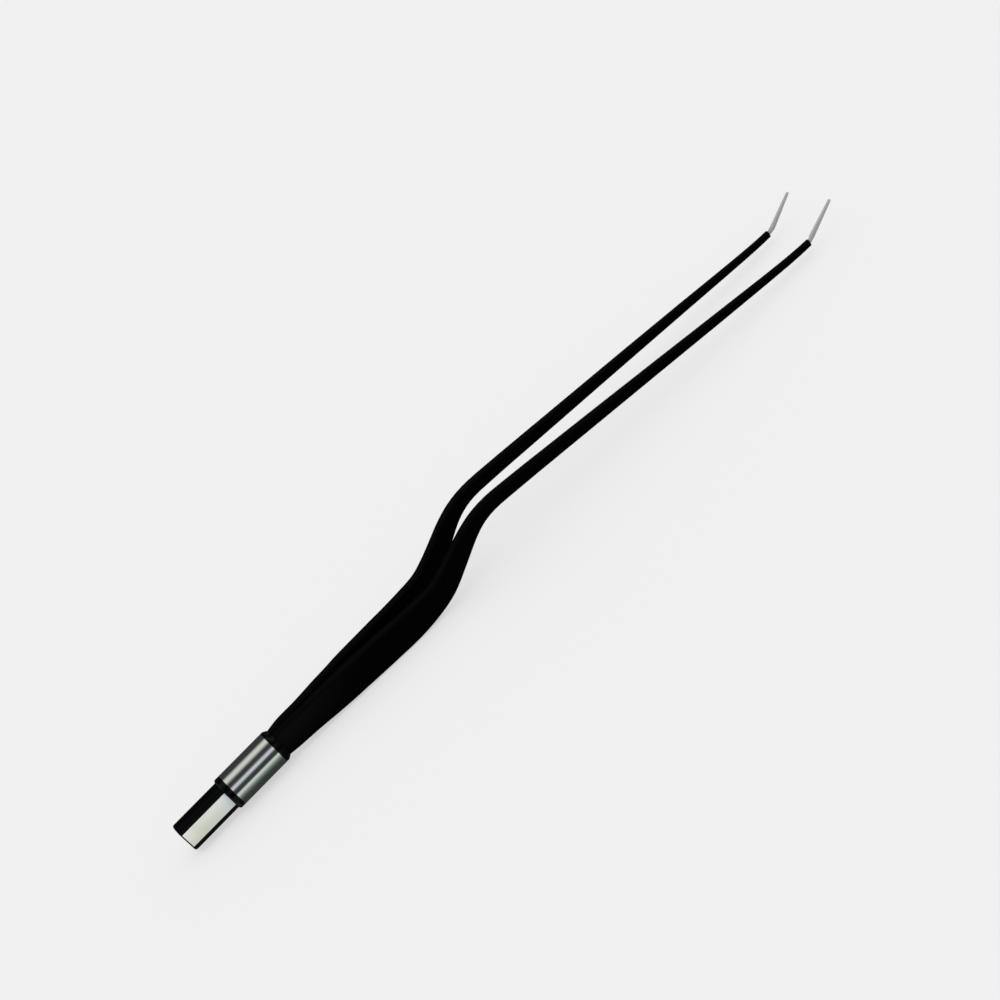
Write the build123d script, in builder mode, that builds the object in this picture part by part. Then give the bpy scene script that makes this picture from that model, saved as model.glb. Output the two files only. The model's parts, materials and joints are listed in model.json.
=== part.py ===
# Bayonet bipolar forceps with a flat two-contact plug, lying on the lower edges of its arms.
# X runs along the handle from the plug's rear face to the tips, Z is up, and the two arms stand side by
# side at plus and minus Y. The origin is the centre of the plug's rear face, on the ferrule's axis.
# Lengths are in millimetres.
from build123d import *
from math import atan, cos, pi, sin
import os

os.makedirs("parts", exist_ok=True)

# Places along the handle, from the plug's rear face
tongue_end = 14.6
flange_end = 16.3
hub_end = 21.5
spigot_start = 27.5
ferrule_end = 30.7
nose_end = 32.3

# Plug: a round bar with two flats, and a contact strip let into each flat
tongue_radius = 4.15
tongue_rounding = 0.6
flat_edge = 0.2
flat_height = 2.35
flange_edge = 0.35
strip_width = 4.5
strip_face = 2.4
strip_depth = 0.8
strip_start = 0.35
pad_end = 14.5
buried_step = 0.1
tail_width = 3.2
tail_face = 0.75
tail_depth = 0.42
tail_end = 26.5
joggle_start = 17.0
joggle_end = 19.5

# Ferrule and what it holds
ferrule_radius = 4.75
ferrule_bore = 4.15
ferrule_edge = 0.12
nose_taper_depth = 0.55
nose_taper_length = 1.0
separator_thickness = 0.4
separator_height = 6.4
separator_start = 18.5
separator_end = 28.5

# Arms: spring steel blades in a nylon coat, with bare tips
coat_thickness = 0.4
coat_start = 31.0
tang_start = 24.0
tang_height = 5.0
tang_lap = 0.5
tang_relief = 0.1

# Cross-sections: the corner radius as a share of the thickness, and the flats that round a corner
corner_share = 0.42
coat_flats = 5
steel_flats = 2

# Evenly spaced sections of the coated arm beyond its root: where they start, and how many steps
even_start = 35.0
even_steps = 36

# Room for the blades to flex at their roots
slot_clearance = 0.1
tang_end_clearance = 0.15
swing_at_tang = 0.47
swing_at_nose = 0.18

# Coated arm: place along X, height of the centre line, offset from the middle, blade height, thickness
root = (coat_start, 0.0, 1.45, 7.2, 2.2)
handle = [
    (nose_end, 0.0, 1.45, 7.2, 2.2),
    (35.0, 0.05, 1.55, 7.85, 2.3),
    (42.0, -0.15, 1.85, 8.2, 2.4),
    (48.0, -0.35, 2.2, 8.75, 2.45),
    (54.0, -0.47, 2.6, 9.1, 2.5),
    (65.0, -0.7, 3.3, 9.2, 2.5),
    (77.0, -0.9, 4.1, 8.75, 2.5),
]
bayonet = [
    (87.0, 0.2, 4.75, 7.35, 2.5),
    (94.0, 3.22, 5.2, 6.35, 2.5),
    (101.0, 6.7, 5.65, 5.3, 2.5),
    (108.0, 8.65, 6.0, 4.45, 2.4),
    (115.0, 8.47, 6.3, 4.25, 2.3),
]
shaft = [
    (135.0, 6.4, 6.9, 3.85, 2.1),
    (160.0, 3.7, 7.7, 3.35, 1.9),
    (187.0, 0.68, 8.55, 2.75, 1.7),
    (206.0, -1.45, 9.0, 2.25, 1.55),
    (214.0, -2.2, 9.15, 2.1, 1.45),
    (219.0, -2.45, 9.2, 2.0, 1.4),
]
coated = [root] + handle + bayonet + shaft

# Bare tip beyond the coat: the same five values, for the steel alone
bare_tip = [
    (220.8, -1.9, 8.93, 1.45, 0.84),
    (230.0, 2.1, 9.3, 0.72, 0.74),
    (230.4, 2.27, 9.31, 0.42, 0.46),
]

root_offset = root[2]
tang_thickness = root[4] - 2 * coat_thickness - tang_relief
tang_outer = root_offset + tang_thickness / 2


def rate(stations, index, value):
    """Change of one value per millimetre along X at a station, from the stations beside it."""
    before = stations[max(index - 1, 0)]
    after = stations[min(index + 1, len(stations) - 1)]
    return (after[value] - before[value]) / (after[0] - before[0])


def station_at(place):
    """The five values at any place on the coated arm, on smooth curves through its stations."""
    index = max(number for number in range(len(coated) - 1) if coated[number][0] <= place)
    start, end = coated[index], coated[index + 1]
    span = end[0] - start[0]
    share = (place - start[0]) / span
    values = [place]
    for value in range(1, len(start)):
        leaving = rate(coated, index, value) * span
        arriving = rate(coated, index + 1, value) * span
        change = end[value] - start[value]
        bend = 3 * change - 2 * leaving - arriving
        twist = leaving + arriving - 2 * change
        values.append(start[value] + share * (leaving + share * (bend + share * twist)))
    return tuple(values)


def section_corners(width, height, flats):
    """Corners of an upright rectangle, each of its own corners rounded by a number of flats."""
    radius = corner_share * min(width, height)
    corners = []
    for quarter, (right, up) in enumerate([(1, 1), (-1, 1), (-1, -1), (1, -1)]):
        for step in range(flats + 1):
            angle = (quarter + step / flats) * pi / 2
            corners.append((
                right * (width / 2 - radius) + radius * cos(angle),
                up * (height / 2 - radius) + radius * sin(angle),
            ))
    return corners


def arm_sections(stations, side, skin, flats):
    """Rounded rectangles square to the arm's centre line, each inside its station by a skin."""
    sections = []
    for index, (place, rise, offset, height, thickness) in enumerate(stations):
        slope = atan(rate(stations, index, 1))
        section_plane = Plane(
            origin=(place, side * offset, rise),
            x_dir=(0, 1, 0),
            z_dir=(cos(slope), 0, sin(slope)),
        )
        corners = section_corners(thickness - 2 * skin, height - 2 * skin, flats)
        with BuildSketch(section_plane) as section:
            with BuildLine():
                Polyline(*corners, close=True)
            make_face()
        sections.append(section.sketch)
    return sections


def make_blade(side):
    """One-piece spring blade: tang, handle, bayonet offset, shaft and bare tip."""
    skinned = arm_sections(coated_run, side, coat_thickness, steel_flats)
    bare = arm_sections(bare_tip, side, 0, steel_flats)
    with BuildPart() as blade:
        loft(skinned)
        loft(skinned[-1:] + bare, ruled=True)
        with BuildSketch(Plane.YZ.offset(tang_start)):
            with Locations((side * root_offset, 0)):
                Rectangle(tang_thickness, tang_height)
        extrude(amount=coat_start + tang_lap - tang_start)
    return blade.part


def make_coat(side):
    """Nylon skin over the blade, from inside the nose bush to the bare tip."""
    with BuildPart() as coat:
        loft(arm_sections(coated_run, side, 0, coat_flats))
        loft(arm_sections(coated_run, side, coat_thickness, steel_flats), mode=Mode.SUBTRACT)
    return coat.part


def make_strip(side):
    """Contact strip: a wide pad on the plug's flat, joggled inwards to a narrow tail beside the tang."""
    pad_back = strip_face - strip_depth
    tail_back = tail_face - tail_depth
    with BuildPart() as strip:
        with BuildSketch(Plane.XY):
            with BuildLine():
                Polyline(
                    (strip_start, side * strip_face),
                    (pad_end, side * strip_face),
                    (pad_end, side * (strip_face - buried_step)),
                    (joggle_start, side * (strip_face - buried_step)),
                    (joggle_end, side * tail_face),
                    (tail_end, side * tail_face),
                    (tail_end, side * tail_back),
                    (joggle_end - tail_depth, side * tail_back),
                    (joggle_start - tail_depth, side * pad_back),
                    (strip_start, side * pad_back),
                    close=True,
                )
            make_face()
        extrude(amount=strip_width / 2, both=True)
        shoulder = (strip_width - tail_width) / 2
        with BuildSketch(Plane.XZ):
            with Locations(
                ((flange_end + tail_end) / 2, (strip_width - shoulder) / 2),
                ((flange_end + tail_end) / 2, (shoulder - strip_width) / 2),
            ):
                Rectangle(tail_end - flange_end, shoulder)
        extrude(amount=strip_face, both=True, mode=Mode.SUBTRACT)
    return strip.part


def make_separator():
    """Thin insulating plate that keeps the two tangs and tails apart."""
    with BuildPart() as separator:
        with BuildSketch(Plane.XZ):
            with Locations(((separator_start + separator_end) / 2, 0)):
                Rectangle(separator_end - separator_start, separator_height)
        extrude(amount=separator_thickness / 2, both=True)
    return separator.part


def swing_pocket(side):
    """Wedge behind the nose in which a tang turns while its arm closes."""
    inner = tail_face
    with BuildPart() as pocket:
        with BuildSketch(Plane.XY):
            with BuildLine():
                Polyline(
                    (tang_start - tang_end_clearance, side * inner),
                    (ferrule_end, side * inner),
                    (ferrule_end, side * (tang_outer + swing_at_nose)),
                    (tang_start - tang_end_clearance, side * (tang_outer + swing_at_tang)),
                    close=True,
                )
            make_face()
        extrude(amount=tang_height / 2 + slot_clearance, both=True)
    return pocket.part


def make_insulator(inner_pieces):
    """Moulded plug: tongue with two flats, flange ring, and the hub that fills the ferrule's rear."""
    with BuildPart() as insulator:
        with BuildSketch(Plane.YZ):
            Circle(tongue_radius)
        extrude(amount=tongue_end)
        fillet(insulator.faces().sort_by(Axis.X)[0].edges(), tongue_rounding)
        with BuildSketch(Plane.YZ):
            Rectangle(2 * flat_height, 2 * tongue_radius)
        extrude(amount=tongue_end, mode=Mode.INTERSECT)
        rear_edges = insulator.faces().sort_by(Axis.X)[0].edges()
        chamfer(rear_edges.filter_by(GeomType.LINE), flat_edge)
        with BuildSketch(Plane.YZ.offset(tongue_end)):
            Circle(ferrule_radius)
        extrude(amount=flange_end - tongue_end)
        flange_rim = insulator.edges().filter_by(GeomType.CIRCLE).group_by(SortBy.RADIUS)[-1]
        chamfer(flange_rim.sort_by(Axis.X)[0], flange_edge)
        with BuildSketch(Plane.YZ.offset(flange_end)):
            Circle(ferrule_bore)
        extrude(amount=hub_end - flange_end)
        for piece in inner_pieces:
            add(piece, mode=Mode.SUBTRACT)
    return insulator.part


def make_ferrule():
    """Polished steel sleeve over the hub, the potting and the nose's spigot."""
    with BuildPart() as ferrule:
        with BuildSketch(Plane.YZ.offset(flange_end)):
            Circle(ferrule_radius)
            Circle(ferrule_bore, mode=Mode.SUBTRACT)
        extrude(amount=ferrule_end - flange_end)
        outer_rims = ferrule.edges().filter_by(GeomType.CIRCLE).group_by(SortBy.RADIUS)[-1]
        chamfer(outer_rims, ferrule_edge)
    return ferrule.part


def make_nose(inner_pieces):
    """Front ring with a spigot in the ferrule, slotted for the two arms."""
    with BuildPart() as nose:
        with BuildSketch(Plane.YZ.offset(spigot_start)):
            Circle(ferrule_bore)
        extrude(amount=ferrule_end - spigot_start)
        with BuildSketch(Plane.YZ.offset(ferrule_end)):
            Circle(ferrule_radius)
        extrude(amount=nose_end - ferrule_end)
        front = nose.faces().sort_by(Axis.X)[-1]
        chamfer(front.edges(), nose_taper_depth, nose_taper_length, reference=front)
        slot_width = root[4] + 2 * slot_clearance
        slot_height = root[3] + 2 * slot_clearance
        with BuildSketch(Plane.YZ.offset(ferrule_end)):
            with Locations((root_offset, 0), (-root_offset, 0)):
                RectangleRounded(slot_width, slot_height, corner_share * slot_width)
        extrude(amount=nose_end - ferrule_end, mode=Mode.SUBTRACT)
        for piece in inner_pieces:
            add(piece, mode=Mode.SUBTRACT)
    return nose.part


def make_potting(inner_pieces):
    """Cast resin between hub and nose, around the strips' tails and the separator."""
    with BuildPart() as potting:
        with BuildSketch(Plane.YZ.offset(hub_end)):
            Circle(ferrule_bore)
        extrude(amount=spigot_start - hub_end)
        for piece in inner_pieces:
            add(piece, mode=Mode.SUBTRACT)
    return potting.part


even_run = (coated[-1][0] - even_start) / even_steps
coated_run = [root, handle[0]]
coated_run += [station_at(even_start + even_run * step) for step in range(even_steps + 1)]

sides = {"left": 1, "right": -1}
strips = {name: make_strip(side) for name, side in sides.items()}
pockets = [swing_pocket(side) for side in sides.values()]
separator = make_separator()
bedded = list(strips.values()) + [separator]

pieces = {
    "plug_insulator": make_insulator(bedded),
    "ferrule": make_ferrule(),
    "nose_bush": make_nose([separator] + pockets),
    "potting": make_potting(bedded + pockets),
    "arm_separator": separator,
}
for name, side in sides.items():
    pieces["contact_strip_" + name] = strips[name]
    pieces["arm_blade_" + name] = make_blade(side)
    pieces["arm_coat_" + name] = make_coat(side)

for name, piece in pieces.items():
    piece.label = name
    export_step(piece, "parts/" + name + ".step")
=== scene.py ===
"""Looks of the bayonet bipolar forceps: finishes, soft studio light, pale floor and the camera.

All lengths are in metres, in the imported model's own frame: X runs along the handle from the plug's rear
face to the tips, Z is up, and the arms stand at plus and minus Y.
"""
import json
import math

import bpy
from mathutils import Matrix, Vector


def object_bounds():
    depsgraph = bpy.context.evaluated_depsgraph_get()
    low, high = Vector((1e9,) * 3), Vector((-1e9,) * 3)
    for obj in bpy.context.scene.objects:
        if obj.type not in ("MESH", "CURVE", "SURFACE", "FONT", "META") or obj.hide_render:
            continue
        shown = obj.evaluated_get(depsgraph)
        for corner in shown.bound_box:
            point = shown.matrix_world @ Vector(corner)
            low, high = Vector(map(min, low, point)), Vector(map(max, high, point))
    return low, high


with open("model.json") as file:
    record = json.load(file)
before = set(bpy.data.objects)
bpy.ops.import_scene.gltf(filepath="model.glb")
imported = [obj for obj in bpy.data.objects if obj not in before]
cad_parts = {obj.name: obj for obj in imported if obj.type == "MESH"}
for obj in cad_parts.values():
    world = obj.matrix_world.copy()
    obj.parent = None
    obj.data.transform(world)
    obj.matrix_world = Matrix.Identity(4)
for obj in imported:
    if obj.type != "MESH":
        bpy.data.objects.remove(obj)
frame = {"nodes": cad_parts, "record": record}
cad_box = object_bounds()

MM = 0.001

# Camera, beside the right arm and turned so that the handle runs to the picture's upper right
CAMERA_PLACE = Vector((0.0324, -0.4106, 0.2358))
CAMERA_TARGET = Vector((0.1142, 0.0, 0.0036))
CAMERA_ROLL = math.radians(-39.78)
SENSOR_WIDTH = 36.0
LENS = 68.07
CAMERA_SHIFT = (-0.0005, 0.0005)

# Light levels: sky and sun together light a level white surface to about 1. The floor and the sky that
# the camera sees have the pale level, and the floor glows by a share, which lightens the shadow.
SKY_LEVEL = 0.86
SUN_LEVEL = 0.14
SUN_PLACE = Vector((-0.1, -0.2, 1.0))
SUN_SPREAD = math.radians(50)
PALE = 0.871
GLOW_SHARE = 0.62
FLOOR_HALF = 3.0

# What the polished parts mirror: two long softboxes parallel to the handle over a dark studio, given by
# their height in degrees over the camera's side, the half widths of core and fade, level and colour
STUDIO_DARK = (0.05, 0.058, 0.055)
OVERHEAD_BOX = (94.5, 3.0, 30.0, 0.89, (1.0, 1.0, 0.94))
FRONT_BOX = (31.0, 1.0, 18.0, 0.92, (0.88, 0.9, 1.0))

# A third softbox stands behind, in two parts beyond these sidewards shares of a direction
REAR_BOX = (160.0, 2.0, 20.0, 0.9, (0.95, 0.98, 1.0))
REAR_ASIDE = (0.42, 0.62)

# The contact strips' end along the handle and half their width
STRIP_END = 0.0145
STRIP_HALF = 0.00225

# A painted pool of light on the floor in front of the plug, seen only in the polished parts' reflections.
# It starts, is brightest and ends at the near, bright and far distances from the handle's middle plane;
# nearer than its start the floor stays dark as a painted shadow beneath the object. Before the contact
# strip the first two are taken down to a share. Beyond its end along the handle the painted pool fades.
STRIP_SHARE = 0.25
PAINTED_POOL_NEAR = 0.005
PAINTED_POOL_BRIGHT = 0.021
PAINTED_POOL_FAR = 0.055
PAINTED_POOL_LEVEL = 0.9
PAINTED_POOL_END = 0.032
PAINTED_POOL_FADE = 0.03
PAINTED_POOL_COLOUR = (0.88, 1.0, 0.9, 1)


class Nodes:
    """A material or world node tree, with short calls for the nodes used here."""

    def __init__(self, tree):
        self.tree = tree
        self.tree.nodes.clear()

    def add(self, kind, settings=None, **inputs):
        node = self.tree.nodes.new(kind)
        for name, value in (settings or {}).items():
            setattr(node, name, value)
        for name, value in inputs.items():
            self.put(node, name.replace("_", " "), value)
        return node

    def put(self, node, socket, value):
        self.put_in(node.inputs[socket], value)

    def put_in(self, target, value):
        if isinstance(value, bpy.types.NodeSocket):
            self.tree.links.new(value, target)
        else:
            target.default_value = value


def new_material(name):
    material = bpy.data.materials.new(name)
    material.use_nodes = True
    return material, Nodes(material.node_tree)


def local_place(nodes, scale):
    """Coordinates fixed to the piece, in metres, stretched by a scale along each axis."""
    place = nodes.add("ShaderNodeTexCoord").outputs["Object"]
    return nodes.add("ShaderNodeMapping", Vector=place, Scale=scale).outputs["Vector"]


def noise(nodes, vector, scale, detail=3.0):
    texture = nodes.add("ShaderNodeTexNoise", Vector=vector, Scale=scale, Detail=detail)
    return texture.outputs["Fac"]


def ramp(nodes, value, low, high):
    """A texture value taken to the range from low to high."""
    limits = {"From_Min": 0.3, "From_Max": 0.7, "To_Min": low, "To_Max": high}
    return nodes.add("ShaderNodeMapRange", Value=value, **limits).outputs["Result"]


def bump(nodes, height, strength, distance):
    node = nodes.add("ShaderNodeBump", Strength=strength, Distance=distance, Height=height)
    return node.outputs["Normal"]


def smooth_step(nodes, value, start, end, low, high):
    """Level that goes smoothly from low to high while a value goes from start to end."""
    limits = {"From_Min": start, "From_Max": end, "To_Min": low, "To_Max": high}
    settings = {"interpolation_type": "SMOOTHSTEP"}
    return nodes.add("ShaderNodeMapRange", settings, Value=value, **limits).outputs["Result"]


def split_axes(nodes, vector):
    """The X, Y and Z sockets of a vector."""
    return nodes.add("ShaderNodeSeparateXYZ", Vector=vector).outputs


def scale_vector(nodes, vector, factor):
    scaled = nodes.add("ShaderNodeVectorMath", {"operation": "SCALE"}, Scale=factor)
    nodes.put(scaled, 0, vector)
    return scaled.outputs["Vector"]


def calculate(nodes, operation, *values):
    node = nodes.add("ShaderNodeMath", {"operation": operation})
    for index, value in enumerate(values):
        nodes.put(node, index, value)
    return node.outputs["Value"]


def mix_colours(nodes, share, first, second):
    """Colour that goes from the first to the second as the share goes from 0 to 1."""
    mix = nodes.add("ShaderNodeMix", {"data_type": "RGBA"}, Factor=share)
    first_socket, second_socket = (socket for socket in mix.inputs if socket.type == "RGBA")
    nodes.put_in(first_socket, first)
    nodes.put_in(second_socket, second)
    return next(socket for socket in mix.outputs if socket.type == "RGBA")


def finish_material(nodes, **inputs):
    shader = nodes.add("ShaderNodeBsdfPrincipled", **inputs)
    nodes.add("ShaderNodeOutputMaterial", Surface=shader.outputs["BSDF"])


def black_nylon():
    """Powder-coated nylon skin: near black, satin, with a very fine orange peel."""
    material, nodes = new_material("nylon_coat")
    place = local_place(nodes, (1, 1, 1))
    peel = noise(nodes, place, scale=2600, detail=4)
    cloud = noise(nodes, place, scale=90, detail=2)
    finish_material(
        nodes,
        Base_Color=(0.0002, 0.0002, 0.0002, 1),
        Roughness=ramp(nodes, cloud, 0.3, 0.38),
        Specular_IOR_Level=0.07,
        Normal=bump(nodes, peel, 0.25, 0.03 * MM),
    )
    return material


def moulded_black():
    """Moulded plastic: a dull tongue, and a glossy flange and nose ring beyond it."""
    material, nodes = new_material("moulded_black")
    place = local_place(nodes, (1, 1, 1))
    along = split_axes(nodes, place)["X"]
    step = STRIP_END, STRIP_END + 0.5 * MM
    gloss = smooth_step(nodes, along, *step, 0.0, 0.22)
    dull = ramp(nodes, noise(nodes, place, scale=400, detail=2), 0.4, 0.5)
    finish_material(
        nodes,
        Base_Color=(0.0004, 0.0004, 0.0008, 1),
        Roughness=calculate(nodes, "SUBTRACT", dull, gloss),
        Specular_IOR_Level=smooth_step(nodes, along, *step, 0.06, 0.11),
        Normal=bump(nodes, noise(nodes, place, scale=1800), 0.12, 0.03 * MM),
    )
    return material


def polished_steel():
    """Drawn and polished stainless tube, with faint lines along it."""
    material, nodes = new_material("polished_steel")
    lines = noise(nodes, local_place(nodes, (30, 900, 900)), scale=6, detail=4)
    finish_material(
        nodes,
        Base_Color=(0.62, 0.63, 0.62, 1),
        Metallic=1.0,
        Roughness=ramp(nodes, lines, 0.09, 0.16),
        Normal=bump(nodes, lines, 0.06, 0.02 * MM),
    )
    return material


def contact_plate():
    """Nickel-plated strip, brushed along its length and a little brighter towards its upper edge."""
    material, nodes = new_material("contact_plate")
    lines = noise(nodes, local_place(nodes, (40, 1500, 1500)), scale=6, detail=4)
    place = local_place(nodes, (1, 1, 1))
    axes = split_axes(nodes, place)
    cloud = ramp(nodes, noise(nodes, place, scale=350, detail=2), -0.12, 0.12)
    share = calculate(nodes, "ADD", calculate(nodes, "DIVIDE", axes["X"], STRIP_END), cloud)
    tint = nodes.add("ShaderNodeValToRGB", Fac=share)
    colours = (
        (0.1, (0.8, 0.74, 0.71, 1)),
        (0.35, (0.69, 0.69, 0.63, 1)),
        (0.68, (0.75, 0.71, 0.7, 1)),
        (0.95, (0.74, 0.73, 0.76, 1)),
    )
    stops = tint.color_ramp.elements
    while len(stops) < len(colours):
        stops.new(0.5)
    for stop, (position, colour) in zip(stops, colours):
        stop.position = position
        stop.color = colour
    across = smooth_step(nodes, axes["Z"], -STRIP_HALF, STRIP_HALF, 0.9, 1.16)
    finish_material(
        nodes,
        Base_Color=scale_vector(nodes, tint.outputs["Color"], across),
        Metallic=0.6,
        Roughness=ramp(nodes, lines, 0.3, 0.42),
        Normal=bump(nodes, lines, 0.1, 0.02 * MM),
    )
    return material


def blade_steel():
    """Satin stainless steel of the bare tips."""
    material, nodes = new_material("blade_steel")
    lines = noise(nodes, local_place(nodes, (60, 2200, 2200)), scale=6, detail=4)
    finish_material(
        nodes,
        Base_Color=(0.52, 0.49, 0.49, 1),
        Metallic=0.35,
        Roughness=ramp(nodes, lines, 0.36, 0.46),
        Normal=bump(nodes, lines, 0.15, 0.02 * MM),
    )
    return material


def plain_filler(name, colour, roughness):
    """Cast resin or sheet insulation inside the ferrule."""
    material, nodes = new_material(name)
    place = local_place(nodes, (1, 1, 1))
    finish_material(
        nodes,
        Base_Color=colour,
        Roughness=ramp(nodes, noise(nodes, place, scale=700), roughness - 0.05, roughness + 0.05),
        Normal=bump(nodes, noise(nodes, place, scale=1500), 0.1, 0.03 * MM),
    )
    return material


def dress_nodes():
    """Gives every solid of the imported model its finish."""
    finishes = {
        "moulded_black": moulded_black(),
        "contact_plate": contact_plate(),
        "polished_steel": polished_steel(),
        "resin": plain_filler("resin", (0.09, 0.08, 0.07, 1), 0.3),
        "separator_plate": plain_filler("separator_plate", (0.75, 0.72, 0.62, 1), 0.55),
        "blade_steel": blade_steel(),
        "nylon_coat": black_nylon(),
    }
    for part in frame["record"]["subparts"]:
        mesh = frame["nodes"][part["node"]].data
        mesh.materials.clear()
        mesh.materials.append(finishes[part["material_slot"]])


def painted_light_pool(nodes):
    """Level of the floor as the polished parts see it: a painted pool of light in front of the plug over a
    dark floor, with painted shade close beneath the object.
    """
    place = nodes.add("ShaderNodeNewGeometry").outputs["Position"]
    axes = split_axes(nodes, place)
    ahead = calculate(nodes, "MULTIPLY", axes["Y"], -1.0)
    share = smooth_step(nodes, axes["X"], STRIP_END, STRIP_END + 2 * MM, STRIP_SHARE, 1.0)
    start = calculate(nodes, "DIVIDE", ahead, share)
    # Painted shadow: the pool stays dark close to the handle's middle plane, beneath the object
    rise = smooth_step(nodes, start, PAINTED_POOL_NEAR, PAINTED_POOL_BRIGHT, 0.0, PAINTED_POOL_LEVEL)
    fall = smooth_step(nodes, ahead, PAINTED_POOL_BRIGHT, PAINTED_POOL_FAR, 1.0, 0.0)
    end = smooth_step(nodes, axes["X"], PAINTED_POOL_END, PAINTED_POOL_END + PAINTED_POOL_FADE, 1.0, 0.0)
    band = calculate(nodes, "MULTIPLY", calculate(nodes, "MULTIPLY", rise, fall), end)
    return calculate(nodes, "ADD", band, sum(STUDIO_DARK) / 3)


def mix_shaders(nodes, share, first, second):
    mix = nodes.add("ShaderNodeMixShader", Fac=share)
    nodes.put(mix, 1, first)
    nodes.put(mix, 2, second)
    return mix.outputs["Shader"]


def make_floor(height):
    """Plain pale floor; in reflections on polished parts it glows as painted light instead: a dark floor in
    painted shade with a painted pool of light on it.
    """
    material, nodes = new_material("floor")
    path = nodes.add("ShaderNodeLightPath")
    # For glossy rays only, the floor glows with the painted pool of light and painted shade
    painted_pool = nodes.add("ShaderNodeEmission", Color=PAINTED_POOL_COLOUR, Strength=painted_light_pool(nodes))
    lit = nodes.add("ShaderNodeBsdfDiffuse", Color=(PALE, PALE, PALE, 1))
    glowing = nodes.add("ShaderNodeEmission", Color=(PALE, PALE, PALE, 1))
    ground = mix_shaders(nodes, GLOW_SHARE, lit.outputs["BSDF"], glowing.outputs["Emission"])
    mix = mix_shaders(nodes, path.outputs["Is Glossy Ray"], ground, painted_pool.outputs["Emission"])
    nodes.add("ShaderNodeOutputMaterial", Surface=mix)

    mesh = bpy.data.meshes.new("floor")
    corners = [(FLOOR_HALF * x, FLOOR_HALF * y, height) for x, y in ((-1, -1), (1, -1), (1, 1), (-1, 1))]
    mesh.from_pydata(corners, [], [(0, 1, 2, 3)])
    mesh.materials.append(material)
    floor = bpy.data.objects.new("floor", mesh)
    bpy.context.scene.collection.objects.link(floor)


def softbox(nodes, height, box, share):
    """Colour that a long softbox adds in the direction that lies a height in degrees over the front.

    The share takes its level down where the box has a gap.
    """
    centre, core, fade, level, colour = box
    aside = calculate(nodes, "ABSOLUTE", calculate(nodes, "SUBTRACT", height, centre))
    strength = smooth_step(nodes, aside, core, fade, level, 0.0)
    return scale_vector(nodes, colour, calculate(nodes, "MULTIPLY", strength, share))


def studio(nodes):
    """Colour of the mirrored studio by direction."""
    direction = nodes.add("ShaderNodeTexCoord").outputs["Generated"]
    axes = split_axes(nodes, direction)
    front = calculate(nodes, "MULTIPLY", axes["Y"], -1.0)
    turn = calculate(nodes, "ARCTAN2", axes["Z"], front)
    height = calculate(nodes, "DEGREES", turn)
    aside = smooth_step(nodes, calculate(nodes, "ABSOLUTE", axes["X"]), *REAR_ASIDE, 0.0, 1.0)
    colour = STUDIO_DARK
    for box, share in ((OVERHEAD_BOX, 1.0), (FRONT_BOX, 1.0), (REAR_BOX, aside)):
        total = nodes.add("ShaderNodeVectorMath", {"operation": "ADD"})
        nodes.put(total, 0, colour)
        nodes.put(total, 1, softbox(nodes, height, box, share))
        colour = total.outputs["Vector"]
    return colour


def make_world():
    """Even pale sky for the camera and the plain surfaces, and a studio for reflections."""
    world = bpy.data.worlds.new("studio")
    bpy.context.scene.world = world
    world.use_nodes = True
    nodes = Nodes(world.node_tree)
    path = nodes.add("ShaderNodeLightPath")
    sky = (SKY_LEVEL, SKY_LEVEL, SKY_LEVEL, 1)
    lit = mix_colours(nodes, path.outputs["Is Glossy Ray"], sky, studio(nodes))
    seen = mix_colours(nodes, path.outputs["Is Camera Ray"], lit, (PALE, PALE, PALE, 1))
    background = nodes.add("ShaderNodeBackground", Color=seen)
    nodes.add("ShaderNodeOutputWorld", Surface=background.outputs["Background"])


def aim(place, target, roll=0.0):
    """Matrix of a lamp or camera at a place, looking at a target, turned about its line of sight."""
    back = (place - target).normalized()
    right = Vector((0, 0, 1)).cross(back).normalized()
    up = back.cross(right)
    turned_right = math.cos(roll) * right + math.sin(roll) * up
    turned_up = -math.sin(roll) * right + math.cos(roll) * up
    turn = Matrix((turned_right, turned_up, back)).transposed()
    return Matrix.Translation(place) @ turn.to_4x4()


def make_lights():
    sun = bpy.data.lights.new("sun", "SUN")
    sun.energy = SUN_LEVEL * math.pi
    sun.angle = SUN_SPREAD
    sun.specular_factor = 0.0
    light = bpy.data.objects.new("sun", sun)
    light.matrix_world = aim(SUN_PLACE, Vector((0, 0, 0)))
    light.visible_glossy = False
    bpy.context.scene.collection.objects.link(light)


def make_camera():
    data = bpy.data.cameras.new("camera")
    data.sensor_width = SENSOR_WIDTH
    data.lens = LENS
    data.clip_start = 0.01
    data.shift_x, data.shift_y = CAMERA_SHIFT
    camera = bpy.data.objects.new("camera", data)
    camera.matrix_world = aim(CAMERA_PLACE, CAMERA_TARGET, CAMERA_ROLL)
    bpy.context.scene.collection.objects.link(camera)
    bpy.context.scene.camera = camera


make_camera()
dress_nodes()
make_world()
make_floor(cad_box[0][2])
make_lights()
bpy.context.scene.view_settings.view_transform = "Standard"
